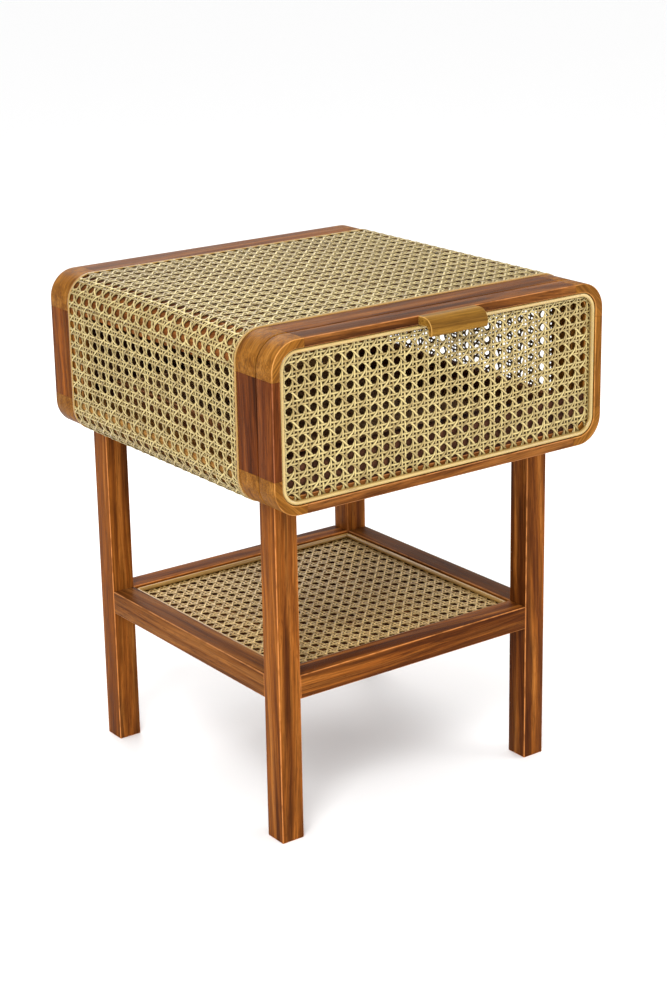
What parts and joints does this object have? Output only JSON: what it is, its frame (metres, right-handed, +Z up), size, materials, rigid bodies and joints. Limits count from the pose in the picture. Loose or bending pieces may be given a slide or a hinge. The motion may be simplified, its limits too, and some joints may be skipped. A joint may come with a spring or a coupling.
{
  "type": "side table with drawer",
  "caption": "Square-legged side table: a rounded, cane-wrapped case holding a full-front cane drawer with a bent wooden pull, above a framed cane shelf.",
  "frame": {"origin": "on the floor, under the middle of the overall bounding box", "axes": "+Z up, +X to the right seen from the front, +Y from the drawer's front to the back"},
  "size_m": [0.442, 0.462, 0.571],
  "materials": {
    "teak": "satin oiled hardwood",
    "teak_light": "satin oiled hardwood, lighter pieces",
    "teak_dark": "satin oiled hardwood, darker pieces",
    "board": "dark stained board",
    "cane": "woven cane webbing, matt",
    "rattan": "round rattan reed, semi-gloss"
  },
  "bodies": {
    "table": {"back_bead": "rattan", "back_board": "board", "back_cane": "cane", "back_ring_bottom": "teak", "back_ring_corner_bottom_left": "teak_light", "back_ring_corner_bottom_right": "teak_light", "back_ring_corner_top_left": "teak_light", "back_ring_corner_top_right": "teak_light", "back_ring_left": "teak_dark", "back_ring_right": "teak_dark", "back_ring_top": "teak", "bottom_board": "board", "cane_over_top": "cane", "cane_side_left": "cane", "cane_side_right": "cane", "corner_rail_bottom_left": "teak", "corner_rail_bottom_right": "teak", "corner_rail_top_left": "teak", "corner_rail_top_right": "teak", "drawer_stop": "teak", "front_ring_bottom": "teak", "front_ring_corner_bottom_left": "teak_light", "front_ring_corner_bottom_right": "teak_light", "front_ring_corner_top_left": "teak_light", "front_ring_corner_top_right": "teak_light", "front_ring_left": "teak_dark", "front_ring_right": "teak_dark", "front_ring_top": "teak", "leg_back_left": "teak", "leg_back_right": "teak", "leg_front_left": "teak", "leg_front_right": "teak", "runner_left": "teak", "runner_right": "teak", "shelf_bead": "rattan", "shelf_cane": "cane", "shelf_panel": "board", "shelf_rail_back": "teak", "shelf_rail_front": "teak", "shelf_rail_left": "teak_dark", "shelf_rail_right": "teak_dark", "top_board": "board", "trim_back": "rattan", "trim_front": "rattan"},
    "drawer": {"drawer_back": "teak", "drawer_bead": "rattan", "drawer_bottom": "board", "drawer_box_front": "board", "drawer_cane": "cane", "drawer_pull": "teak_light", "drawer_ring_bottom": "teak", "drawer_ring_corner_bottom_left": "teak_light", "drawer_ring_corner_bottom_right": "teak_light", "drawer_ring_corner_top_left": "teak_light", "drawer_ring_corner_top_right": "teak_light", "drawer_ring_left": "teak_dark", "drawer_ring_right": "teak_dark", "drawer_ring_top": "teak", "drawer_side_left": "teak", "drawer_side_right": "teak"}
  },
  "joints": [
    {"name": "drawer_slide", "type": "slide", "parent": "table", "child": "drawer", "axis": [0, -1, 0], "range_m": [0, 0.25]}
  ]
}
